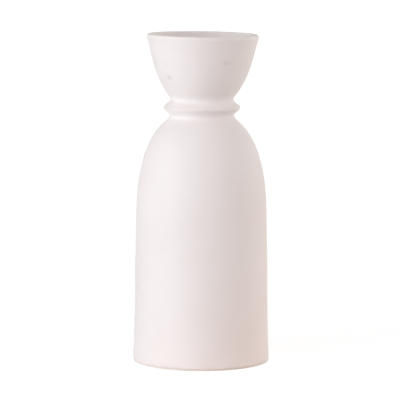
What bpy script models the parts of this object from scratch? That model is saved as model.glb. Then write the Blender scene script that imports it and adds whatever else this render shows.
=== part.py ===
# Bottle vase in matt white earthenware, built as a potter builds it: in turned sections.
# A foot ring and a floor close the bottom of a tall wall that domes in to a narrow neck,
# a collar turned with a round bead sits on the neck, and a wide cup stands on the collar.
# Each section laps over the next one with half its wall, where slip holds the two together.
# Metres, +Z up, with the origin on the table at the middle of the foot.

import math

import bmesh
import bpy

# Foot ring
FOOT_PROUD = 0.0012         # bare ring that shows under the edge of the wall
FOOT_UPSTAND = 0.0040       # ring that stands up inside the wall
FOOT_INSET = 0.0004         # the ring's outer face stands back from the wall by this
FOOT_WIDTH = 0.0085         # ring, from its outer face to its inner face
FOOT_EDGE = 0.0005          # bevel on the ring's lower edges

# Floor
FLOOR_THICKNESS = 0.0060
LEDGE_WIDTH = 0.0024        # step inside the wall that the floor is pressed against

# Wall and dome
WAIST_RADIUS = 0.0608       # outside, where the flare of the base ends
BASE_FLARE = 0.0018         # the base is wider than the waist by this, all round
FLARE_HEIGHT = 0.0815       # top of the flare
WALL_TAPER = 0.0195         # radius lost for each unit of height above the flare
DOME_SPRING = 0.1312        # height at which the wall starts to dome in
DOME_RISE = 0.0989          # from there to the crown that the dome would have if it closed
DOME_POWER = 2.61           # 2 is an ellipse, and more is squarer at the shoulder
WALL = 0.0050
BASE_EDGE = 0.0007          # bevel on the wall's lower edge

# Neck
NECK_RADIUS = 0.0298        # outside, at the bottom of the groove under the bead
NECK_WALL = 0.0052
COVE_WIDTH = 0.0044         # hollow curve from the dome up to the groove
COVE_HEIGHT = 0.0062
LAP_HEIGHT = 0.0030         # the inner half of each section stands up this far in the next

# Collar
COLLAR_HEIGHT = 0.0150
BEAD_HEIGHT = 0.0143        # from the joint below it, and above it the groove is upright
BEAD_PROUD = 0.0057         # the bead stands out from the grooves by this
GROOVE_STEP = 0.0007        # the groove above the bead is narrower than the one below it

# Cup
CUP_HEIGHT = 0.0590
CUP_COVE_WIDTH = 0.0032     # hollow curve from the groove out to the cup's side
CUP_COVE_HEIGHT = 0.0051
CUP_COVE_SLOPE = 0.84       # its outward run for each unit of height, where it ends
MOUTH_RADIUS = 0.0510       # outside, at the lip
CUP_FOOT_LEAN = math.radians(33.5)     # how far the side leans out where it starts
CUP_LIP_LEAN = math.radians(16)        # and where it meets the lip
CUP_FOOT_REACH = 0.43       # how far along the side the first lean holds, of its length
CUP_LIP_REACH = 0.34        # and the second
CUP_INNER_BULGE = 0.0032    # the inside bows out from a straight line by this
LIP_THICKNESS = 0.0048
THROAT_LAND = 0.0015        # straight throat above the lap, before the inside opens out

# Fits
SLIP_GAP = 0.0003           # the layer of slip between two sections

# How finely round shapes are divided
SEGMENTS = 64
WALL_STEPS = 8
DOME_STEPS = 15
COVE_STEPS = 4
BEAD_STEPS = 16
CUP_STEPS = 10
LIP_STEPS = 8
SHARP_ANGLE = math.radians(35)


def wall_radius(z):
    """Outside radius of the wall before it domes in: flared at the base, tapered above."""
    if z < FLARE_HEIGHT:
        return WAIST_RADIUS + BASE_FLARE * (1 - z / FLARE_HEIGHT) ** 2
    return WAIST_RADIUS - WALL_TAPER * (z - FLARE_HEIGHT)


def dome_share(z, rise):
    """How much of the wall's radius is left at a height on a dome with this rise."""
    climb = min(max((z - DOME_SPRING) / rise, 0.0), 1.0)
    return (1 - climb ** DOME_POWER) ** (1 / DOME_POWER)


def outer_radius(z):
    return wall_radius(z) * dome_share(z, DOME_RISE)


def inner_radius(z):
    return (wall_radius(z) - WALL) * dome_share(z, DOME_RISE - WALL)


def height_where(radius_at, radius, low, high):
    """The height between low and high at which a surface that closes in has this radius."""
    for _ in range(50):
        middle = (low + high) / 2
        if radius_at(middle) > radius:
            low = middle
        else:
            high = middle
    return (low + high) / 2


# Heights and radii that follow from the sizes above
WALL_FOOT = FOOT_PROUD + SLIP_GAP
FLOOR_SEAT = FOOT_PROUD + FOOT_UPSTAND + SLIP_GAP
LEDGE = FLOOR_SEAT + FLOOR_THICKNESS + SLIP_GAP
SEAT_RADIUS = inner_radius(LEDGE) + LEDGE_WIDTH
FOOT_RADIUS = outer_radius(WALL_FOOT) - FOOT_INSET
COVE_FOOT = height_where(outer_radius, NECK_RADIUS + COVE_WIDTH, DOME_SPRING, DOME_SPRING + DOME_RISE)
LOWER_JOINT = COVE_FOOT + COVE_HEIGHT
UPPER_JOINT = LOWER_JOINT + COLLAR_HEIGHT
THROAT_RADIUS = NECK_RADIUS - NECK_WALL
THROAT_FOOT = height_where(inner_radius, THROAT_RADIUS, DOME_SPRING, DOME_SPRING + DOME_RISE - WALL)
UPPER_GROOVE = NECK_RADIUS - GROOVE_STEP
LAP_RADIUS = THROAT_RADIUS + (NECK_WALL - GROOVE_STEP - SLIP_GAP) / 2


def between(low, high, steps):
    """Evenly spaced values from low to high, with both ends."""
    return [low + (high - low) * i / steps for i in range(steps + 1)]


def dome_heights(top, rise, steps):
    """Heights from the spring of a dome up to top, closer together where it turns most."""
    last = math.asin(((top - DOME_SPRING) / rise) ** (DOME_POWER / 2))
    turns = between(0.0, last, steps)
    return [DOME_SPRING + rise * math.sin(turn) ** (2 / DOME_POWER) for turn in turns]


def bowed(start, end, bulge, steps):
    """A round arc from start to end, whose middle stands to the right of the line by bulge."""
    across = (end[0] - start[0], end[1] - start[1])
    length = math.hypot(*across)
    radius = (length * length / 4 + bulge * bulge) / (2 * bulge)
    half = math.asin(length / 2 / radius)
    ahead = (across[0] / length, across[1] / length)
    side = (ahead[1], -ahead[0])
    middle = ((start[0] + end[0]) / 2, (start[1] + end[1]) / 2)
    points = []
    for turn in between(-half, half, steps):
        along = radius * math.sin(turn)
        out = radius * math.cos(turn) - radius * math.cos(half)
        points.append((middle[0] + ahead[0] * along + side[0] * out,
                       middle[1] + ahead[1] * along + side[1] * out))
    return points


def cove(start, slope, end, steps):
    """A hollow curve that leaves start at a slope and arrives at end upright."""
    bend = (end[0], start[1] + (start[0] - end[0]) / slope)
    points = []
    for share in between(0.0, 1.0, steps):
        rest = 1 - share
        points.append(tuple(rest * rest * start[i] + 2 * rest * share * bend[i] + share * share * end[i]
                            for i in range(2)))
    return points


def leaning(start, start_lean, end, end_lean, steps):
    """A smooth curve from start to end that leans out by one angle at first and by another at last."""
    length = math.hypot(end[0] - start[0], end[1] - start[1])
    low, high = CUP_FOOT_REACH * length, CUP_LIP_REACH * length
    first = (start[0] + low * math.sin(start_lean), start[1] + low * math.cos(start_lean))
    last = (end[0] - high * math.sin(end_lean), end[1] - high * math.cos(end_lean))
    points = []
    for share in between(0.0, 1.0, steps):
        rest = 1 - share
        points.append(tuple(rest ** 3 * start[i] + 3 * rest * rest * share * first[i]
                            + 3 * rest * share * share * last[i] + share ** 3 * end[i] for i in range(2)))
    return points


def lap_up(joint, outside):
    """Top of a section: the outer half of its wall ends at the joint, the inner half stands up."""
    return [(outside, joint), (LAP_RADIUS, joint), (LAP_RADIUS, joint + LAP_HEIGHT),
            (THROAT_RADIUS, joint + LAP_HEIGHT)]


def lap_down(joint, outside):
    """Bottom of a section, which sits over the lap below it with a layer of slip between."""
    return [(THROAT_RADIUS, joint + LAP_HEIGHT + SLIP_GAP),
            (LAP_RADIUS + SLIP_GAP, joint + LAP_HEIGHT + SLIP_GAP),
            (LAP_RADIUS + SLIP_GAP, joint + SLIP_GAP),
            (outside, joint + SLIP_GAP)]


def foot_ring_outline():
    """A ring with a step: the wall stands on its outer part, and its inner part holds the floor."""
    inside = FOOT_RADIUS - FOOT_WIDTH
    top = FOOT_PROUD + FOOT_UPSTAND
    return [(inside + FOOT_EDGE, 0.0), (FOOT_RADIUS - FOOT_EDGE, 0.0), (FOOT_RADIUS, FOOT_EDGE),
            (FOOT_RADIUS, FOOT_PROUD), (SEAT_RADIUS - SLIP_GAP, FOOT_PROUD),
            (SEAT_RADIUS - SLIP_GAP, top), (inside, top), (inside, FOOT_EDGE)]


def base_floor_outline():
    """A thick round slab, from its axis out to the wall's seat."""
    edge = SEAT_RADIUS - SLIP_GAP
    top = FLOOR_SEAT + FLOOR_THICKNESS
    return [(0.0, FLOOR_SEAT), (edge, FLOOR_SEAT), (edge, top), (0.0, top)]


def body_wall_outline():
    """Up the outside of the wall and the dome, over the neck's lap and down the inside."""
    outside = [(outer_radius(WALL_FOOT) - BASE_EDGE, WALL_FOOT)]
    outside += [(outer_radius(z), z) for z in between(WALL_FOOT + BASE_EDGE, DOME_SPRING, WALL_STEPS)]
    outside += [(outer_radius(z), z) for z in dome_heights(COVE_FOOT, DOME_RISE, DOME_STEPS)[1:]]
    reach = COVE_HEIGHT / 100
    slope = (outer_radius(COVE_FOOT - reach) - outer_radius(COVE_FOOT)) / reach
    neck = cove(outside[-1], slope, (NECK_RADIUS, LOWER_JOINT), COVE_STEPS)[1:-1]
    neck += lap_up(LOWER_JOINT, NECK_RADIUS)
    inside = [(inner_radius(z), z) for z in dome_heights(THROAT_FOOT, DOME_RISE - WALL, DOME_STEPS)]
    inside = [(inner_radius(z), z) for z in between(LEDGE, DOME_SPRING, WALL_STEPS)[:-1]] + inside
    seat = [(SEAT_RADIUS, LEDGE), (SEAT_RADIUS, WALL_FOOT)]
    return outside + neck + inside[::-1] + seat


def neck_collar_outline():
    """A short ring whose outside swells to a round bead between two grooves."""
    start = lap_down(LOWER_JOINT, NECK_RADIUS)
    outside = []
    for share in between(0.0, 1.0, BEAD_STEPS)[1:]:
        swell = (1 - math.cos(2 * math.pi * share)) / 2
        radius = NECK_RADIUS - GROOVE_STEP * share + BEAD_PROUD * swell
        outside.append((radius, LOWER_JOINT + BEAD_HEIGHT * share))
    return start + outside + lap_up(UPPER_JOINT, UPPER_GROOVE)


def mouth_cup_outline():
    """Out from the groove, up the flared side, round the lip and down to the throat."""
    lip = LIP_THICKNESS / 2
    top = UPPER_JOINT + CUP_HEIGHT - lip
    start = lap_down(UPPER_JOINT, UPPER_GROOVE)
    edge = (UPPER_GROOVE + CUP_COVE_WIDTH, UPPER_JOINT + CUP_COVE_HEIGHT)
    foot = cove(edge, -CUP_COVE_SLOPE, start[-1], COVE_STEPS)[1:-1]
    rim = [(MOUTH_RADIUS - lip + lip * math.cos(turn), top + lip * math.sin(turn))
           for turn in between(-CUP_LIP_LEAN, math.pi, LIP_STEPS)]
    outside = leaning(edge, CUP_FOOT_LEAN, rim[0], CUP_LIP_LEAN, CUP_STEPS)[:-1]
    throat = (THROAT_RADIUS, UPPER_JOINT + LAP_HEIGHT + SLIP_GAP + THROAT_LAND)
    inside = bowed(throat, rim[-1], CUP_INNER_BULGE, CUP_STEPS)[:-1]
    return start + foot[::-1] + outside + rim + inside[::-1]


def turned(name, outline, material, parent):
    """Spins a closed outline of (radius, height) points once round the vase's axis."""
    mesh = bpy.data.meshes.new(name)
    shape = bmesh.new()
    points = [shape.verts.new((radius, 0.0, height)) for radius, height in outline]
    for here, after in zip(points, points[1:] + points[:1]):
        if here.co.x > 0 or after.co.x > 0:
            shape.edges.new((here, after))
    bmesh.ops.spin(shape, geom=shape.verts[:] + shape.edges[:], cent=(0, 0, 0), axis=(0, 0, 1),
                   angle=2 * math.pi, steps=SEGMENTS, use_merge=True)
    bmesh.ops.remove_doubles(shape, verts=shape.verts[:], dist=1e-7)
    bmesh.ops.recalc_face_normals(shape, faces=shape.faces[:])
    shape.to_mesh(mesh)
    shape.free()
    mesh.shade_smooth()
    mesh.set_sharp_from_angle(angle=SHARP_ANGLE)
    mesh.materials.append(material)
    piece = bpy.data.objects.new(name, mesh)
    piece.parent = parent
    bpy.context.collection.objects.link(piece)
    return piece


def fired_clay(name, colour, roughness):
    material = bpy.data.materials.new(name)
    material.use_nodes = True
    shader = material.node_tree.nodes["Principled BSDF"]
    shader.inputs["Base Color"].default_value = (*colour, 1.0)
    shader.inputs["Roughness"].default_value = roughness
    shader.inputs["Metallic"].default_value = 0.0
    return material


def build():
    for old in list(bpy.data.objects):
        bpy.data.objects.remove(old)
    axis = bpy.data.objects.new("vase_axis", None)
    bpy.context.collection.objects.link(axis)
    white = (0.87, 0.83, 0.82)
    turned("foot_ring", foot_ring_outline(), fired_clay("bare_clay_ring", (0.70, 0.61, 0.54), 0.95), axis)
    turned("base_floor", base_floor_outline(), fired_clay("bare_clay_floor", (0.70, 0.61, 0.54), 0.95), axis)
    turned("body_wall", body_wall_outline(), fired_clay("white_slip_body", white, 0.70), axis)
    turned("neck_collar", neck_collar_outline(), fired_clay("white_slip_collar", white, 0.70), axis)
    turned("mouth_cup", mouth_cup_outline(), fired_clay("white_slip_cup", white, 0.70), axis)


build()
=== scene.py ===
# Finish of a matt white bottle vase: five turned sections of clay round one axis.
# Each section's outline is drawn once, then a Geometry Nodes tree turns it on the wheel,
# leaves the small marks of the hand in it and gives it its clay.
# Metres, +Z up, the vase stands on the floor at the origin and the photograph looks along +Y.

import math

import bpy
from mathutils import Matrix, Vector


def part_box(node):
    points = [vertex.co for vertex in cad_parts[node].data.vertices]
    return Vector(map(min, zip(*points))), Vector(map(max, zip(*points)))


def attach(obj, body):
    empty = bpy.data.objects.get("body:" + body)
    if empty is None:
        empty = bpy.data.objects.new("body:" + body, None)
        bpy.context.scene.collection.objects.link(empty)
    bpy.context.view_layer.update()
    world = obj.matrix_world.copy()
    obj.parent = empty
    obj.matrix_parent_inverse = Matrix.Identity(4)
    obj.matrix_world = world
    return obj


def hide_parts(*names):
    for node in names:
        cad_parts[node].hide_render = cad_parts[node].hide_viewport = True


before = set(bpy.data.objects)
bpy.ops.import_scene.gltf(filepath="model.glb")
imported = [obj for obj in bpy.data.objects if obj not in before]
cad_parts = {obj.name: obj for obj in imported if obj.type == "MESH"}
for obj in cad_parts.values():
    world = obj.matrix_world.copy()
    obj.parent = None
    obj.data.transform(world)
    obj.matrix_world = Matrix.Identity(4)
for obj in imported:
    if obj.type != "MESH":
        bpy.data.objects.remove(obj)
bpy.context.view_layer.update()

# Places of the sections, from the frame
_, FLOOR_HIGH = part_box("base_floor")
_, RING_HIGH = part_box("foot_ring")
WALL_LOW, WALL_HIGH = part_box("body_wall")
COLLAR_LOW, COLLAR_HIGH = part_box("neck_collar")
CUP_LOW, CUP_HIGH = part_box("mouth_cup")

# Sizes of the turned shape, from the foot up
FOOT_PROUD = 0.0012         # bare ring that shows under the edge of the wall
FOOT_WIDTH = 0.0085         # ring, from its outer face to its inner face
FOOT_EDGE = 0.0005          # rounding of the ring's lower edges
EDGE_MIDDLE = 0.3           # where such a rounding is half way, as a share of it
WALL = 0.0050               # thickness of the wall and the dome
BASE_EDGE = 0.0007          # rounding of the wall's lower edge
BASE_FLARE = 0.0018         # the base is wider than the waist by this, all round
FLARE_HEIGHT = 0.0815       # top of the flare
WALL_TAPER = 0.0195         # radius lost for each unit of height above the flare
DOME_SPRING = 0.1312        # height at which the wall starts to dome in
DOME_RISE = 0.0989          # from there to the crown that the dome would have if it closed
DOME_POWER = 2.61           # 2 is an ellipse, and more is squarer at the shoulder
NECK_WALL = 0.0052          # thickness of the neck in the groove under the bead
COVE_HEIGHT = 0.0062        # hollow curve from the dome up to the groove
LAP_HEIGHT = 0.0030         # the inner half of each section stands up this far in the next
SLIP_GAP = 0.0003           # the layer of slip between two sections
BEAD_HEIGHT = 0.0143        # from the joint below it, and above it the groove is upright
BEAD_PROUD = 0.0057         # the bead stands out from the grooves by this
GROOVE_STEP = 0.0007        # the groove above the bead is narrower than the one below it
CUP_COVE_WIDTH = 0.0032     # hollow curve from the groove out to the cup's side
CUP_COVE_HEIGHT = 0.0051
CUP_COVE_SLOPE = 0.84       # its outward run for each unit of height, where it ends
CUP_FOOT_LEAN = math.radians(33.5)     # how far the side leans out where it starts
CUP_LIP_LEAN = math.radians(16)        # and where it meets the lip
CUP_FOOT_REACH = 0.43       # how far along the side the first lean holds, of its length
CUP_LIP_REACH = 0.34        # and the second
CUP_INNER_BULGE = 0.0032    # the inside bows out from a straight line by this
THROAT_LAND = 0.0015        # straight throat above the lap, before the inside opens out
LIP_THICKNESS = 0.0048
LIP_SQUARENESS = 3.0        # 2 is a half circle

# Marks of the hand
WOBBLE = 0.00022            # how far the wall strays from round
WOBBLE_SIZE = 0.075         # length of one such wave
HAND = 3.0                  # which of the many wobbles of this kind the vase has
OUTER_RINGS = 0.000012      # height of the throwing rings outside
INNER_RINGS = 0.00016       # and inside, where the fingers pressed
RING_PITCH = 0.0042
RINGS_FROM_AXIS = (0.001, 0.006)       # they grow to full height over this radius
RINGS_FROM_FOOT = (0.0005, 0.0020)     # and over this height
WIPED_FROM = 0.040          # they start to be wiped away this far below the lip
WIPED_TO = 0.008            # and from this far below it they are wiped the most
WIPED_SHARE = 0.85          # by this share of their height
CUP_LEAN = math.radians(0.6)
LEAN_RISE = 0.012           # the lean grows over this height above the joint
LIP_WAVE = 0.00012          # rise and fall of the lip
LIP_WAVES = 1.6             # how often, for each radian

# Where the slip lies thin, and where painted light makes the grooves lighter
GROOVE_LIGHT_RISE = 0.0018          # the painted light is strongest this far above a joint
GROOVE_LIGHT_REACH = 0.0036         # and as far as this up and down from there
BEAD_CREST = 0.6            # it is thin where the bead stands out by more than this share

# Pits in the cup: turn to the right of the viewer's side, height, width, depth
CUP_PITS = (
    (-46.4, 0.2618, 0.0090, 0.00040),
    (27.6, 0.2755, 0.0078, 0.00032),
    (32.2, 0.2764, 0.0066, 0.00022),
    (-46.0, 0.2735, 0.0060, 0.00016),
    (60.5, 0.2756, 0.0050, 0.00022),
    (128.0, 0.2690, 0.0066, 0.00030),
    (-152.0, 0.2800, 0.0060, 0.00024),
)
PIT_ROUGHNESS = 0.0016      # how far a pit's edge strays from round

# Fineness
ROUND_STEPS = 288
EDGE_STEPS = 6
WALL_STEPS = 56
DOME_STEPS = 40
COVE_STEPS = 8
BEAD_STEPS = 40
THROAT_STEPS = 10
CUP_STEPS = 60
LIP_STEPS = 24
SLAB_STEPS = 90
UNDERSIDE_STEPS = 30
SHARP_ANGLE = math.radians(32)
SAME_POINT = 1e-6           # points closer than this are one
HALVINGS = 50               # steps in the search for a height

# Colours, as light reflects from them
WHITE_SLIP = (0.880, 0.842, 0.838)
WARM_SLIP = (0.866, 0.815, 0.806)
THIN_SLIP = (0.800, 0.700, 0.640)
# painted light: the lighter colour the grooves take, standing in for the brighter light they
# catch
PAINTED_GROOVE_LIGHT = (0.904, 0.869, 0.865)
PIT_SHADE = (0.560, 0.480, 0.460)
CLAY = (0.790, 0.730, 0.685)
CLAY_LIGHT = (0.840, 0.790, 0.750)
CLAY_SPECK = (0.300, 0.220, 0.180)

# Patterns of the finish, in repeats for each metre
SLIP_CLOUDS = 16.0
SLIP_WEAR = 120.0
SLIP_SPONGE = 260.0
SLIP_GRAIN = 1900.0
PIT_CRUMBS = 420.0
CLAY_CLOUDS = 70.0
CLAY_SAND = 1300.0

# Spots: cells for each metre, the share of cells with a spot, and its soft edge in cells
PINHOLES = (150.0, 0.06, (0.03, 0.06))
CLAY_SPECKS = (700.0, 0.15, (0.15, 0.30))

# Where a pattern starts to show and where it shows in full
SLIP_CLOUD_FADE = (0.35, 0.75)
SLIP_WEAR_FADE = (0.40, 0.70)
CLAY_CLOUD_FADE = (0.3, 0.7)

# How strongly each mark shows in the colour
THIN_SHOWS = 0.35
PIT_SHOWS = 0.30
PINHOLE_SHOWS = 0.50
SPECK_SHOWS = 0.60

# Roughness, from the smoothest spots to the roughest
SLIP_ROUGHNESS = (0.60, 0.76)
CLAY_ROUGHNESS = (0.80, 1.00)

# The fine relief of each surface, and what the slip's is made of
SLIP_RELIEF = {"Strength": 0.5, "Distance": 0.00006}
CLAY_RELIEF = {"Strength": 0.7, "Distance": 0.00012}
GRAIN_RELIEF = 0.45
SPONGE_RELIEF = 0.55
PINHOLE_RELIEF = 1.2

# The photograph's view
EYE = Vector((0.0, -2.423, 0.440))
AIM = Vector((-0.0014, 0.0, 0.1478))
LENS = 239.6
SENSOR = 36.0
ROLL = math.radians(0.20)
VIEW_END = 50.0

# Soft light: name, turn to the right of the camera, rise, width and height, watts, colour
LAMP_DISTANCE = 2.4
LAMP_AIM = 0.15
SOFTBOXES = (
    ("window", -55, 12, (1.4, 1.4), 28.7, (0.97, 0.99, 1.0)),
    ("window_sill", -42, 2, (1.4, 0.6), 10.5, (0.93, 0.94, 1.0)),
    ("right_wall", 105, 10, (1.6, 1.4), 13.5, (0.95, 0.98, 0.96)),
    ("right_side", 80, 20, (1.2, 1.4), 12.8, (1.0, 0.93, 0.87)),
    ("overhead", 0, 50, (1.6, 1.0), 6.0, (1.0, 0.85, 0.84)),
)

# The room's own light: level with the vase, slanting down from half way up, and from above
ROOM_LIGHT = (0.0, 0.325, 0.555)
ROOM_COLOUR = (1.0, 0.98, 0.98)
HALF_WAY_UP = 0.5           # rise of a direction that is 1 long

# The floor as the camera sees it: white paper, with a light of its own that is weaker near
# the vase, where the soft shadow shows, and that fades to full strength further away
FLOOR_SIDE = 3.0
FLOOR_BACK = 14.0
PAPER = (0.32, 0.32, 0.32, 1.0)
WHITE = (1.0, 1.0, 1.0, 1.0)
GLOW_NEAR = 0.80
GLOW_FAR = 0.99
GLOW_FADE = (0.4, 3.0)

# The colour of the floor for the light that it sends up, warmer on the right of the vase
TABLE_NEAR = (0.99, 0.77, 0.66)
TABLE_FAR = (0.77, 0.755, 0.745)
TABLE_MIDDLE = (0.24, 0.0, 0.0)
TABLE_FADE = (0.10, 0.40)

# Heights and radii that follow from the frame and the sizes
BASE_RADIUS = WALL_HIGH.x
WAIST_RADIUS = BASE_RADIUS - BASE_FLARE * (1 - (WALL_LOW.z + BASE_EDGE) / FLARE_HEIGHT) ** 2
NECK_RADIUS = COLLAR_HIGH.x - BEAD_PROUD + GROOVE_STEP / 2
UPPER_GROOVE = NECK_RADIUS - GROOVE_STEP
THROAT_RADIUS = NECK_RADIUS - NECK_WALL
LAP_RADIUS = THROAT_RADIUS + (NECK_WALL - GROOVE_STEP) / 2
LOWER_JOINT = COLLAR_LOW.z - SLIP_GAP
UPPER_JOINT = CUP_LOW.z - SLIP_GAP
LEDGE = FLOOR_HIGH.z + SLIP_GAP
SEAT_RADIUS = FLOOR_HIGH.x + SLIP_GAP

# How far round the lip the side of the cup meets it without an edge
LIP_TURN = math.atan(math.tan(CUP_LIP_LEAN) ** (LIP_SQUARENESS / (2 * LIP_SQUARENESS - 2)))

# What the wheel is told for every section
WHEEL_SIZES = {
    "Wobble": WOBBLE,
    "Wobble Size": WOBBLE_SIZE,
    "Outer Rings": OUTER_RINGS,
    "Inner Rings": INNER_RINGS,
    "Ring Pitch": RING_PITCH,
    "Lean": CUP_LEAN,
    "Lean From": UPPER_JOINT,
    "Lean Rise": LEAN_RISE,
    "Lip Wave": LIP_WAVE,
    "Lip Height": CUP_HIGH.z,
    "Hand": HAND,
}


def spread(low, high, steps):
    """Even values from low to high, with both ends."""
    return [low + (high - low) * i / steps for i in range(steps + 1)]


def wall_radius(z):
    """Outside radius of the wall before it domes in: flared at the base, tapered above."""
    if z < FLARE_HEIGHT:
        return WAIST_RADIUS + BASE_FLARE * (1 - z / FLARE_HEIGHT) ** 2
    return WAIST_RADIUS - WALL_TAPER * (z - FLARE_HEIGHT)


def dome_share(z, rise):
    """How much of the wall's radius is left at a height on a dome with this rise."""
    climb = min(max((z - DOME_SPRING) / rise, 0.0), 1.0)
    return (1 - climb ** DOME_POWER) ** (1 / DOME_POWER)


def outer_radius(z):
    return wall_radius(z) * dome_share(z, DOME_RISE)


def inner_radius(z):
    return (wall_radius(z) - WALL) * dome_share(z, DOME_RISE - WALL)


def height_where(radius_at, radius, low, high):
    """The height at which a surface that closes in has this radius."""
    for _ in range(HALVINGS):
        middle = (low + high) / 2
        if radius_at(middle) > radius:
            low = middle
        else:
            high = middle
    return (low + high) / 2


def dome_heights(top, rise, steps):
    """Heights up a dome, closer together where it turns in faster."""
    last = math.asin(((top - DOME_SPRING) / rise) ** (DOME_POWER / 2))
    return [DOME_SPRING + rise * math.sin(turn) ** (2 / DOME_POWER)
            for turn in spread(0.0, last, steps)]


def bowed(start, end, bulge, steps):
    """A round arc from start to end that stands out to the right of the line by bulge."""
    across = Vector(end) - Vector(start)
    length = across.length
    radius = (length * length / 4 + bulge * bulge) / (2 * bulge)
    half = math.asin(length / 2 / radius)
    ahead = across / length
    side = Vector((ahead.y, -ahead.x))
    middle = (Vector(start) + Vector(end)) / 2
    points = []
    for turn in spread(-half, half, steps):
        out = math.cos(turn) - math.cos(half)
        points.append(tuple(middle + radius * (ahead * math.sin(turn) + side * out)))
    return points


def cove(start, slope, end, steps):
    """A hollow curve that leaves start at a slope and arrives at end upright."""
    bend = Vector((end[0], start[1] + (start[0] - end[0]) / slope))
    return [tuple(Vector(start) * (1 - t) ** 2 + bend * 2 * t * (1 - t) + Vector(end) * t * t)
            for t in spread(0.0, 1.0, steps)]


def leaning(start, start_lean, end, end_lean, steps):
    """A smooth curve that leans out by one angle where it starts and by another at its end."""
    start, end = Vector(start), Vector(end)
    length = (end - start).length
    first_way = Vector((math.sin(start_lean), math.cos(start_lean)))
    last_way = Vector((math.sin(end_lean), math.cos(end_lean)))
    first = start + first_way * CUP_FOOT_REACH * length
    last = end - last_way * CUP_LIP_REACH * length
    points = []
    for t in spread(0.0, 1.0, steps):
        rest = 1 - t
        bend = 3 * rest * t * (first * rest + last * t)
        points.append(tuple(start * rest ** 3 + bend + end * t ** 3))
    return points


# Outlines, each a closed line of (radius, height, inside, thin slip and painted groove light)
# points


def painted_groove_light(height):
    """How much painted light lightens the outside at a height: most in the grooves, above each
    joint.
    """
    gathered = 0.0
    for joint in (LOWER_JOINT, UPPER_JOINT):
        gathered = max(gathered, 1 - ((height - joint - GROOVE_LIGHT_RISE) / GROOVE_LIGHT_REACH) ** 2)
    return gathered


def faced(points, inside=0.0, slip_and_light_mark=0.0):
    """Marks a stretch of outline as outside or inside, and how thin the slip lies on it; painted
    light in the grooves outside is taken off as a mark below 0.
    """
    return [(radius, height, inside, slip_and_light_mark - painted_groove_light(height) * (1 - inside))
            for radius, height in points]


def lap_up(joint, outside):
    """The step in a joint, from its outside up to the throat."""
    return [(outside, joint), (LAP_RADIUS, joint), (LAP_RADIUS, joint + LAP_HEIGHT),
            (THROAT_RADIUS, joint + LAP_HEIGHT)]


def lap_down(joint, outside):
    return lap_up(joint, outside)[::-1]


def wall_outline():
    foot = WALL_LOW.z
    cove_foot = LOWER_JOINT - COVE_HEIGHT
    edge = [(BASE_RADIUS - BASE_EDGE * (1 - math.sin(turn)),
             foot + BASE_EDGE * (1 - math.cos(turn)))
            for turn in spread(0.0, math.pi / 2, EDGE_STEPS)]
    side = [(outer_radius(z), z)
            for z in spread(foot + BASE_EDGE, DOME_SPRING, WALL_STEPS)[1:]]
    dome = [(outer_radius(z), z)
            for z in dome_heights(cove_foot, DOME_RISE, DOME_STEPS)[1:]]
    reach = COVE_HEIGHT / 100
    slope = (outer_radius(cove_foot - reach) - outer_radius(cove_foot)) / reach
    neck = cove(dome[-1], slope, (NECK_RADIUS, LOWER_JOINT), COVE_STEPS)[1:-1]

    crown = DOME_SPRING + DOME_RISE - WALL
    throat_foot = height_where(inner_radius, THROAT_RADIUS, DOME_SPRING, crown)
    throat = [(THROAT_RADIUS, z)
              for z in spread(LOWER_JOINT + LAP_HEIGHT, throat_foot, COVE_STEPS)[1:-1]]
    vault = [(inner_radius(z), z)
             for z in dome_heights(throat_foot, DOME_RISE - WALL, DOME_STEPS)][::-1]
    inner = [(inner_radius(z), z) for z in spread(DOME_SPRING, LEDGE, WALL_STEPS)[1:]]
    seat = [(SEAT_RADIUS, LEDGE), (SEAT_RADIUS, foot)]
    return (faced(edge, slip_and_light_mark=1.0) + faced(side + dome + neck)
            + faced(lap_up(LOWER_JOINT, NECK_RADIUS))
            + faced(throat + vault + inner, inside=1.0) + faced(seat))


def collar_outline():
    bead = []
    for share in spread(0.0, 1.0, BEAD_STEPS)[1:]:
        swell = (1 - math.cos(2 * math.pi * share)) / 2
        radius = NECK_RADIUS - GROOVE_STEP * share + BEAD_PROUD * swell
        height = LOWER_JOINT + BEAD_HEIGHT * share
        worn = max(0.0, (swell - BEAD_CREST) / (1 - BEAD_CREST))
        # the bead's mark: thin slip on its crest, and painted light in the grooves at its ends
        bead.append((radius, height, 0.0, worn - painted_groove_light(height)))
    throat = [(THROAT_RADIUS, z) for z in spread(UPPER_JOINT, LOWER_JOINT, THROAT_STEPS)[:-1]
              if z > LOWER_JOINT + LAP_HEIGHT]
    return (faced(lap_down(LOWER_JOINT, NECK_RADIUS)) + bead
            + faced(lap_up(UPPER_JOINT, UPPER_GROOVE)) + faced(throat, inside=1.0))


def lip_point(turn):
    """A point on the squarish round of the lip, turned up from the side that faces out."""
    half = LIP_THICKNESS / 2
    out, up = [math.copysign(abs(part) ** (2 / LIP_SQUARENESS), part)
               for part in (math.cos(turn), math.sin(turn))]
    return (CUP_HIGH.x - half + half * out, CUP_HIGH.z - half + half * up)


def cup_side():
    """The outside of the cup, from the soft edge above its foot to the lip."""
    edge = (UPPER_GROOVE + CUP_COVE_WIDTH, UPPER_JOINT + CUP_COVE_HEIGHT)
    return leaning(edge, CUP_FOOT_LEAN, lip_point(-LIP_TURN), CUP_LIP_LEAN, CUP_STEPS)


def cup_outline():
    side = cup_side()
    start = (UPPER_GROOVE, UPPER_JOINT + SLIP_GAP)
    foot = cove(side[0], -CUP_COVE_SLOPE, start, COVE_STEPS)[1:][::-1]
    rim = [(*lip_point(turn), 0.0, max(0.0, math.sin(turn)) ** 2)
           for turn in spread(-LIP_TURN, math.pi, LIP_STEPS)[1:]]
    throat = (THROAT_RADIUS, UPPER_JOINT + LAP_HEIGHT + SLIP_GAP + THROAT_LAND)
    bowl = bowed(throat, rim[-1][:2], CUP_INNER_BULGE, CUP_STEPS)[:-1][::-1]
    return (faced(lap_down(UPPER_JOINT, UPPER_GROOVE)) + faced(foot + side) + rim
            + faced(bowl, inside=1.0))


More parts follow.
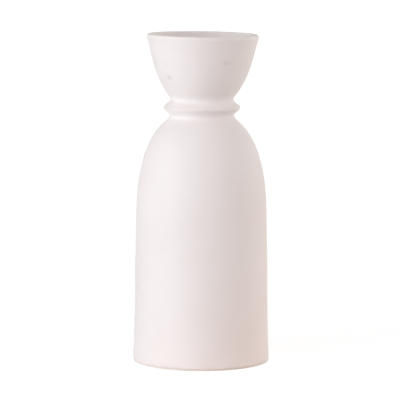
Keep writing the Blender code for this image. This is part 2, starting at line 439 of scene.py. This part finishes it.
def ring_outline():
    outside, top = RING_HIGH.x, RING_HIGH.z
    inside = outside - FOOT_WIDTH
    bend = FOOT_EDGE * EDGE_MIDDLE
    step = FOOT_PROUD + SLIP_GAP
    sole = [(inside, FOOT_EDGE), (inside + bend, bend), (inside + FOOT_EDGE, 0.0),
            (outside - FOOT_EDGE, 0.0), (outside - bend, bend), (outside, FOOT_EDGE)]
    shelf = [(outside, step), (SEAT_RADIUS, step), (SEAT_RADIUS, top), (inside, top)]
    return faced(sole + shelf)


def slab_outline():
    low, high = RING_HIGH.z, FLOOR_HIGH.z
    under = [(radius, low) for radius in spread(0.0, SEAT_RADIUS, UNDERSIDE_STEPS)]
    above = [(radius, high) for radius in spread(SEAT_RADIUS, 0.0, SLAB_STEPS)]
    return faced(under) + faced(above, inside=1.0)


def outline_object(name, points):
    """The outline as a closed line in the XZ plane, with its two marks on each point."""
    mesh = bpy.data.meshes.new(name)
    count = len(points)
    edges = [(i, (i + 1) % count) for i in range(count)]
    mesh.from_pydata([(radius, 0.0, height) for radius, height, _, _ in points], edges, [])
    for place, mark in ((2, "inside"), (3, "thin_slip_and_groove_light")):
        layer = mesh.attributes.new(mark, "FLOAT", "POINT")
        layer.data.foreach_set("value", [point[place] for point in points])
    line = bpy.data.objects.new(name, mesh)
    bpy.context.collection.objects.link(line)
    return line


class Tree:
    """Short ways to add nodes to a tree and join them up."""

    def __init__(self, nodes, links):
        self.nodes = nodes
        self.links = links

    def put(self, target, value):
        if isinstance(value, bpy.types.NodeSocket):
            self.links.new(value, target)
        else:
            target.default_value = value

    def node(self, kind, inputs=(), out=0, **settings):
        made = self.nodes.new(kind)
        for name, value in settings.items():
            setattr(made, name, value)
        for key, value in dict(inputs).items():
            self.put(made.inputs[key], value)
        return made.outputs[out]

    def math(self, operation, *values):
        return self.node("ShaderNodeMath", enumerate(values), operation=operation)

    def vector(self, operation, *values, out=0):
        return self.node("ShaderNodeVectorMath", enumerate(values), out=out,
                         operation=operation)

    def scaled(self, vector, factor):
        return self.node("ShaderNodeVectorMath", {0: vector, "Scale": factor},
                         operation="SCALE")

    def whole(self, operation, *values):
        return self.node("FunctionNodeIntegerMath", enumerate(values), operation=operation)

    def smooth(self, value, low, high):
        return self.node("ShaderNodeMapRange",
                         {"Value": value, "From Min": low, "From Max": high},
                         interpolation_type="SMOOTHSTEP")

    def between(self, share, low, high):
        """A value that goes from low to high as the share goes from 0 to 1."""
        return self.math("ADD", low, self.math("MULTIPLY", share, high - low))

    def either_way(self, noise, size):
        """A noise from 0 to 1 as a value that strays by up to this size to either side of 0."""
        return self.math("MULTIPLY", self.math("SUBTRACT", noise, 0.5),
                         self.math("MULTIPLY", size, 2.0))

    def split(self, vector):
        """The three parts of a vector."""
        apart = self.nodes.new("ShaderNodeSeparateXYZ")
        self.put(apart.inputs[0], vector)
        return apart.outputs["X"], apart.outputs["Y"], apart.outputs["Z"]

    def noise(self, place, scale, detail=3.0, roughness=0.5):
        return self.node("ShaderNodeTexNoise", {"Vector": place, "Scale": scale,
                                                "Detail": detail, "Roughness": roughness})

    def blend(self, factor, first, second):
        """A colour between two others."""
        made = self.nodes.new("ShaderNodeMix")
        made.data_type = "RGBA"
        self.put(made.inputs["Factor"], factor)
        for socket, value in ((made.inputs[6], first), (made.inputs[7], second)):
            self.put(socket, (*value, 1.0) if isinstance(value, tuple) else value)
        return made.outputs[2]

    def spots(self, place, scale, share, edge):
        """1 in a round spot in this share of the cells of a pattern, and 0 outside."""
        cells = self.nodes.new("ShaderNodeTexVoronoi")
        self.put(cells.inputs["Vector"], place)
        self.put(cells.inputs["Scale"], scale)
        chosen = self.math("GREATER_THAN", self.split(cells.outputs["Color"])[0], 1.0 - share)
        near = self.math("SUBTRACT", 1.0, self.smooth(cells.outputs["Distance"], *edge))
        return self.math("MULTIPLY", chosen, near)

    def seen(self):
        """1 for what the camera sees, in a mirror or through glass too, and 0 for stray light."""
        path = self.nodes.new("ShaderNodeLightPath").outputs
        return self.math("MAXIMUM", path["Is Camera Ray"],
                         self.math("MAXIMUM", path["Is Glossy Ray"],
                                   path["Is Transmission Ray"]))


def wheel_tree():
    """Turns an outline once round the axis, and leaves the marks of the hand in it."""
    group = bpy.data.node_groups.new("turn_on_the_wheel", "GeometryNodeTree")
    face = group.interface
    inputs = [("Outline", "NodeSocketGeometry"), ("Round Steps", "NodeSocketInt")]
    inputs += [(name, "NodeSocketFloat") for name in WHEEL_SIZES]
    inputs.append(("Clay", "NodeSocketMaterial"))
    for name, kind in inputs:
        face.new_socket(name, in_out="INPUT", socket_type=kind)
    face.new_socket("Section", in_out="OUTPUT", socket_type="NodeSocketGeometry")
    tree = Tree(group.nodes, group.links)
    given = group.nodes.new("NodeGroupInput").outputs

    # One column of points for each step round, taken from the outline in turn
    count = tree.node("GeometryNodeAttributeDomainSize", {"Geometry": given["Outline"]},
                      component="MESH")
    column = tree.whole("ADD", count, 1)
    grid = tree.node("GeometryNodeMeshGrid",
                     {"Vertices X": tree.whole("ADD", given["Round Steps"], 1),
                      "Vertices Y": column})
    index = tree.node("GeometryNodeInputIndex")
    row = tree.whole("MODULO", tree.whole("MODULO", index, column), count)
    step = tree.whole("DIVIDE_FLOOR", index, column)

    def from_outline(value, data_type):
        return tree.node("GeometryNodeSampleIndex",
                         {"Geometry": given["Outline"], "Value": value, "Index": row},
                         data_type=data_type)

    def marked_as(mark):
        return tree.node("GeometryNodeInputNamedAttribute", {"Name": mark}, data_type="FLOAT")

    def keep_mark(geometry, mark, value):
        return tree.node("GeometryNodeStoreNamedAttribute",
                         {"Geometry": geometry, "Name": mark, "Value": value},
                         data_type="FLOAT", domain="POINT")

    def moved(geometry, offset):
        return tree.node("GeometryNodeSetPosition", {"Geometry": geometry, "Offset": offset})

    def hand_noise(where, scale):
        return tree.node("ShaderNodeTexNoise",
                         {"Vector": where, "W": given["Hand"], "Scale": scale, "Detail": 1.0},
                         noise_dimensions="4D")

    drawn = from_outline(tree.node("GeometryNodeInputPosition"), "FLOAT_VECTOR")
    turn = tree.math("DIVIDE", tree.math("MULTIPLY", step, 2 * math.pi), given["Round Steps"])
    turned = tree.node("ShaderNodeVectorRotate", {"Vector": drawn, "Angle": turn},
                       rotation_type="Z_AXIS")
    body = tree.node("GeometryNodeSetPosition", {"Geometry": grid, "Position": turned})
    for mark in ("inside", "thin_slip_and_groove_light"):
        body = keep_mark(body, mark, from_outline(marked_as(mark), "FLOAT"))
    body = tree.node("GeometryNodeMergeByDistance", {"Geometry": body, "Distance": SAME_POINT})
    faces_beside = tree.node("GeometryNodeInputMeshEdgeNeighbors")
    loose = tree.node("FunctionNodeCompare", {2: faces_beside, 3: 0},
                      data_type="INT", operation="EQUAL")
    body = tree.node("GeometryNodeDeleteGeometry", {"Geometry": body, "Selection": loose},
                     domain="EDGE")

    # The wall strays a little from round
    place = tree.node("GeometryNodeInputPosition")
    x, y, z = tree.split(place)
    flat = tree.node("ShaderNodeCombineXYZ", {"X": x, "Y": y})
    outward = tree.vector("NORMALIZE", flat)
    radius = tree.vector("LENGTH", flat, out=1)
    wave = hand_noise(place, tree.math("DIVIDE", 1.0, given["Wobble Size"]))
    stray = tree.either_way(wave, given["Wobble"])
    body = moved(body, tree.scaled(outward, stray))

    # Finger rings climb the wall in a long spiral
    angle = tree.math("ARCTAN2", y, x)
    climb = tree.math("DIVIDE", tree.math("ADD", z, radius), given["Ring Pitch"])
    phase = tree.math("ADD", tree.math("MULTIPLY", climb, 2 * math.pi), angle)
    inside = marked_as("inside")
    depth = tree.node("ShaderNodeMix", {"Factor": inside, "A": given["Outer Rings"],
                                        "B": given["Inner Rings"]}, data_type="FLOAT")
    fade = tree.math("MULTIPLY", tree.smooth(radius, *RINGS_FROM_AXIS),
                     tree.smooth(z, *RINGS_FROM_FOOT))
    wiped = tree.smooth(z, tree.math("SUBTRACT", given["Lip Height"], WIPED_FROM),
                        tree.math("SUBTRACT", given["Lip Height"], WIPED_TO))
    left = tree.math("SUBTRACT", 1.0, tree.math("MULTIPLY", wiped, WIPED_SHARE))
    fade = tree.math("MULTIPLY", fade, left)
    ripple = tree.math("MULTIPLY", tree.math("SINE", phase), depth)
    ripple = tree.math("MULTIPLY", ripple, fade)
    body = moved(body, tree.scaled(tree.node("GeometryNodeInputNormal"), ripple))

    # The cup leans a little on its joint, and its lip rises and falls
    pivot = tree.node("ShaderNodeCombineXYZ", {"Z": given["Lean From"]})
    risen = tree.smooth(z, given["Lean From"],
                        tree.math("ADD", given["Lean From"], given["Lean Rise"]))
    tilted = tree.node("ShaderNodeVectorRotate",
                       {"Vector": place, "Center": pivot,
                        "Angle": tree.math("MULTIPLY", risen, given["Lean"])},
                       rotation_type="Y_AXIS")
    body = tree.node("GeometryNodeSetPosition", {"Geometry": body, "Position": tilted})
    near_lip = tree.smooth(z, tree.math("SUBTRACT", given["Lip Height"], given["Lean Rise"]),
                           given["Lip Height"])
    lip_rise = tree.either_way(hand_noise(outward, LIP_WAVES), given["Lip Wave"])
    lift = tree.node("ShaderNodeCombineXYZ", {"Z": tree.math("MULTIPLY", lip_rise, near_lip)})
    body = moved(body, lift)

    # Small pits, deepest in the middle
    deepest = max(pit[3] for pit in CUP_PITS)
    outside = tree.math("SUBTRACT", 1.0, inside)
    ragged = tree.either_way(tree.noise(place, PIT_CRUMBS, detail=1.0), PIT_ROUGHNESS)
    pitted = 0.0
    for degrees, height, width, deep in CUP_PITS:
        hollow = tree.node("FunctionNodeInputVector")
        hollow.node.vector = pit_place(math.radians(degrees - 90), height)
        away = tree.math("ADD", tree.vector("DISTANCE", place, hollow, out=1), ragged)
        share = tree.math("SUBTRACT", 1.0, tree.smooth(away, 0.0, width / 2))
        share = tree.math("MULTIPLY", share, outside)
        body = moved(body, tree.scaled(outward, tree.math("MULTIPLY", share, -deep)))
        pitted = tree.math("ADD", pitted, tree.math("MULTIPLY", share, deep / deepest))
    body = keep_mark(body, "pit", pitted)

    body = tree.node("GeometryNodeRealizeInstances", {"Geometry": body})
    body = tree.node("GeometryNodeSetMaterial", {"Geometry": body, "Material": given["Clay"]})
    result = group.nodes.new("NodeGroupOutput")
    group.links.new(body, result.inputs["Section"])
    return group


def pit_place(turn, height):
    """A point on the outside of the cup."""
    radius = min(cup_side(), key=lambda point: abs(point[1] - height))[0]
    return (radius * math.cos(turn), radius * math.sin(turn), height)


def turn_section(name, outline, clay, node, wheel):
    """One section, turned and marked by the tree, as a mesh that stands for its node."""
    line = outline_object(name + "_outline", outline)
    modifier = line.modifiers.new("wheel", "NODES")
    modifier.node_group = wheel
    settings = {"Round Steps": ROUND_STEPS, "Clay": clay, **WHEEL_SIZES}
    for socket in wheel.interface.items_tree:
        if socket.item_type == "SOCKET" and socket.name in settings:
            modifier[socket.identifier] = settings[socket.name]
    depsgraph = bpy.context.evaluated_depsgraph_get()
    mesh = bpy.data.meshes.new_from_object(line.evaluated_get(depsgraph), depsgraph=depsgraph)
    mesh.name = name
    line.modifiers.remove(modifier)
    bpy.data.objects.remove(line)
    mesh.shade_smooth()
    mesh.set_sharp_from_angle(angle=SHARP_ANGLE)
    piece = bpy.data.objects.new(name, mesh)
    bpy.context.collection.objects.link(piece)
    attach(piece, "root")
    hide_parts(node)


def new_material(name):
    material = bpy.data.materials.new(name)
    material.use_nodes = True
    return material, Tree(material.node_tree.nodes, material.node_tree.links)


def matt_white_slip():
    """A thin coat of white slip: cloudy, thin on edges, with pinholes and a fine grain, and
    painted light that makes the grooves lighter.
    """
    material, tree = new_material("matt_white_slip")
    shader = tree.nodes["Principled BSDF"]
    place = tree.node("ShaderNodeTexCoord", out=3)
    cloud = tree.noise(place, SLIP_CLOUDS, detail=2.0)
    wear = tree.noise(place, SLIP_WEAR)
    sponge = tree.noise(place, SLIP_SPONGE, detail=4.0, roughness=0.6)
    grain = tree.noise(place, SLIP_GRAIN, roughness=0.6)
    pinhole = tree.spots(place, *PINHOLES)
    slip_and_light_mark = tree.node("ShaderNodeAttribute", out=2, attribute_name="thin_slip_and_groove_light")
    pit = tree.node("ShaderNodeAttribute", out=2, attribute_name="pit")

    colour = tree.blend(tree.smooth(cloud, *SLIP_CLOUD_FADE), WHITE_SLIP, WARM_SLIP)
    worn = tree.math("MULTIPLY", slip_and_light_mark, tree.smooth(wear, *SLIP_WEAR_FADE))
    colour = tree.blend(tree.math("MULTIPLY", worn, THIN_SHOWS), colour, THIN_SLIP)
    # painted light: where the mark is below 0, the grooves are coloured lighter to stand in for
    # the light they catch
    colour = tree.blend(tree.math("MULTIPLY", slip_and_light_mark, -1.0), colour, PAINTED_GROOVE_LIGHT)
    colour = tree.blend(tree.math("MULTIPLY", pit, PIT_SHOWS), colour, PIT_SHADE)
    colour = tree.blend(tree.math("MULTIPLY", pinhole, PINHOLE_SHOWS), colour, PIT_SHADE)
    tree.put(shader.inputs["Base Color"], colour)

    tree.put(shader.inputs["Roughness"], tree.between(sponge, *SLIP_ROUGHNESS))
    relief = tree.math("ADD", tree.math("MULTIPLY", grain, GRAIN_RELIEF),
                       tree.math("MULTIPLY", sponge, SPONGE_RELIEF))
    relief = tree.math("SUBTRACT", relief, tree.math("MULTIPLY", pinhole, PINHOLE_RELIEF))
    bump = tree.node("ShaderNodeBump", {**SLIP_RELIEF, "Height": relief})
    tree.put(shader.inputs["Normal"], bump)
    return material


def bare_clay():
    """Fired clay without slip: sandy, with darker specks."""
    material, tree = new_material("bare_clay")
    shader = tree.nodes["Principled BSDF"]
    place = tree.node("ShaderNodeTexCoord", out=3)
    cloud = tree.noise(place, CLAY_CLOUDS, detail=4.0, roughness=0.6)
    sand = tree.noise(place, CLAY_SAND, detail=4.0, roughness=0.7)
    speck = tree.spots(place, *CLAY_SPECKS)

    colour = tree.blend(tree.smooth(cloud, *CLAY_CLOUD_FADE), CLAY, CLAY_LIGHT)
    colour = tree.blend(tree.math("MULTIPLY", speck, SPECK_SHOWS), colour, CLAY_SPECK)
    tree.put(shader.inputs["Base Color"], colour)

    tree.put(shader.inputs["Roughness"], tree.between(sand, *CLAY_ROUGHNESS))
    bump = tree.node("ShaderNodeBump", {**CLAY_RELIEF, "Height": sand})
    tree.put(shader.inputs["Normal"], bump)
    return material


def build_vase():
    white = matt_white_slip()
    clay = bare_clay()
    wheel = wheel_tree()
    turn_section("foot", ring_outline(), clay, "foot_ring", wheel)
    turn_section("slab", slab_outline(), clay, "base_floor", wheel)
    turn_section("wall", wall_outline(), white, "body_wall", wheel)
    turn_section("collar", collar_outline(), white, "neck_collar", wheel)
    turn_section("cup", cup_outline(), white, "mouth_cup", wheel)


def stage_floor():
    """A floor that the camera sees as white paper, with the vase's soft shadow on it."""
    mesh = bpy.data.meshes.new("floor")
    corners = [(-FLOOR_SIDE, -FLOOR_SIDE, 0), (FLOOR_SIDE, -FLOOR_SIDE, 0),
               (FLOOR_SIDE, FLOOR_BACK, 0), (-FLOOR_SIDE, FLOOR_BACK, 0)]
    mesh.from_pydata(corners, [], [(0, 1, 2, 3)])
    floor = bpy.data.objects.new("floor", mesh)
    bpy.context.collection.objects.link(floor)
    material, tree = new_material("white_floor")
    tree.nodes.clear()
    place = tree.node("ShaderNodeTexCoord", out=3)

    # What the camera sees
    paper = tree.node("ShaderNodeBsdfDiffuse", {"Color": PAPER})
    away = tree.vector("LENGTH", place, out=1)
    strength = tree.between(tree.smooth(away, *GLOW_FADE), GLOW_NEAR, GLOW_FAR)
    glow = tree.node("ShaderNodeEmission", {"Color": WHITE, "Strength": strength})
    shown = tree.node("ShaderNodeAddShader", {0: paper, 1: glow})

    # What lights the vase from below
    beside = tree.vector("DISTANCE", place, TABLE_MIDDLE, out=1)
    table = tree.blend(tree.smooth(beside, *TABLE_FADE), TABLE_NEAR, TABLE_FAR)
    plain = tree.node("ShaderNodeBsdfDiffuse", {"Color": table})

    either = tree.node("ShaderNodeMixShader", {0: tree.seen(), 1: plain, 2: shown})
    output = tree.nodes.new("ShaderNodeOutputMaterial")
    tree.put(output.inputs["Surface"], either)
    mesh.materials.append(material)


def stage_world():
    """A room that the camera sees as white, and that lights the vase softly from above."""
    world = bpy.data.worlds.new("white_room")
    bpy.context.scene.world = world
    world.use_nodes = True
    tree = Tree(world.node_tree.nodes, world.node_tree.links)
    tree.nodes.clear()
    up = tree.split(tree.node("ShaderNodeTexCoord", out=0))[2]
    level, slanting, above = ROOM_LIGHT
    lower = tree.node("ShaderNodeMapRange", {"Value": up, "From Max": HALF_WAY_UP,
                                             "To Min": level, "To Max": slanting})
    upper = tree.node("ShaderNodeMapRange", {"Value": up, "From Min": HALF_WAY_UP,
                                             "To Min": 0.0, "To Max": above - slanting})
    room = tree.node("ShaderNodeBackground", {"Color": (*ROOM_COLOUR, 1.0),
                                              "Strength": tree.math("ADD", lower, upper)})
    paper = tree.node("ShaderNodeBackground", {"Color": WHITE, "Strength": 1.0})
    either = tree.node("ShaderNodeMixShader", {0: tree.seen(), 1: room, 2: paper})
    output = tree.nodes.new("ShaderNodeOutputWorld")
    tree.put(output.inputs["Surface"], either)


def softbox(name, place, aim, size, power, colour):
    lamp = bpy.data.lights.new(name, "AREA")
    lamp.shape = "RECTANGLE"
    lamp.size, lamp.size_y = size
    lamp.energy = power
    lamp.color = colour
    holder = bpy.data.objects.new(name, lamp)
    holder.location = place
    holder.rotation_euler = (Vector(aim) - Vector(place)).to_track_quat("-Z", "Y").to_euler()
    bpy.context.collection.objects.link(holder)


def stage_lights():
    """Soft boxes round the vase, each by its turn to the right of the camera and its rise."""
    for name, turn, rise, size, power, colour in SOFTBOXES:
        turn, rise = math.radians(turn), math.radians(rise)
        level = LAMP_DISTANCE * math.cos(rise)
        height = LAMP_AIM + LAMP_DISTANCE * math.sin(rise)
        place = (level * math.sin(turn), -level * math.cos(turn), height)
        softbox(name, place, (0, 0, LAMP_AIM), size, power, colour)


def place_camera():
    lens = bpy.data.cameras.new("photo_view")
    lens.lens = LENS
    lens.sensor_width = SENSOR
    lens.clip_end = VIEW_END
    camera = bpy.data.objects.new("photo_view", lens)
    camera.location = EYE
    roll = Matrix.Rotation(ROLL, 3, "Z")
    look = (AIM - EYE).to_track_quat("-Z", "Y").to_matrix()
    camera.rotation_euler = (look @ roll).to_euler()
    bpy.context.collection.objects.link(camera)
    bpy.context.scene.camera = camera


bpy.context.scene.view_settings.view_transform = "Standard"
place_camera()
build_vase()
stage_floor()
stage_world()
stage_lights()
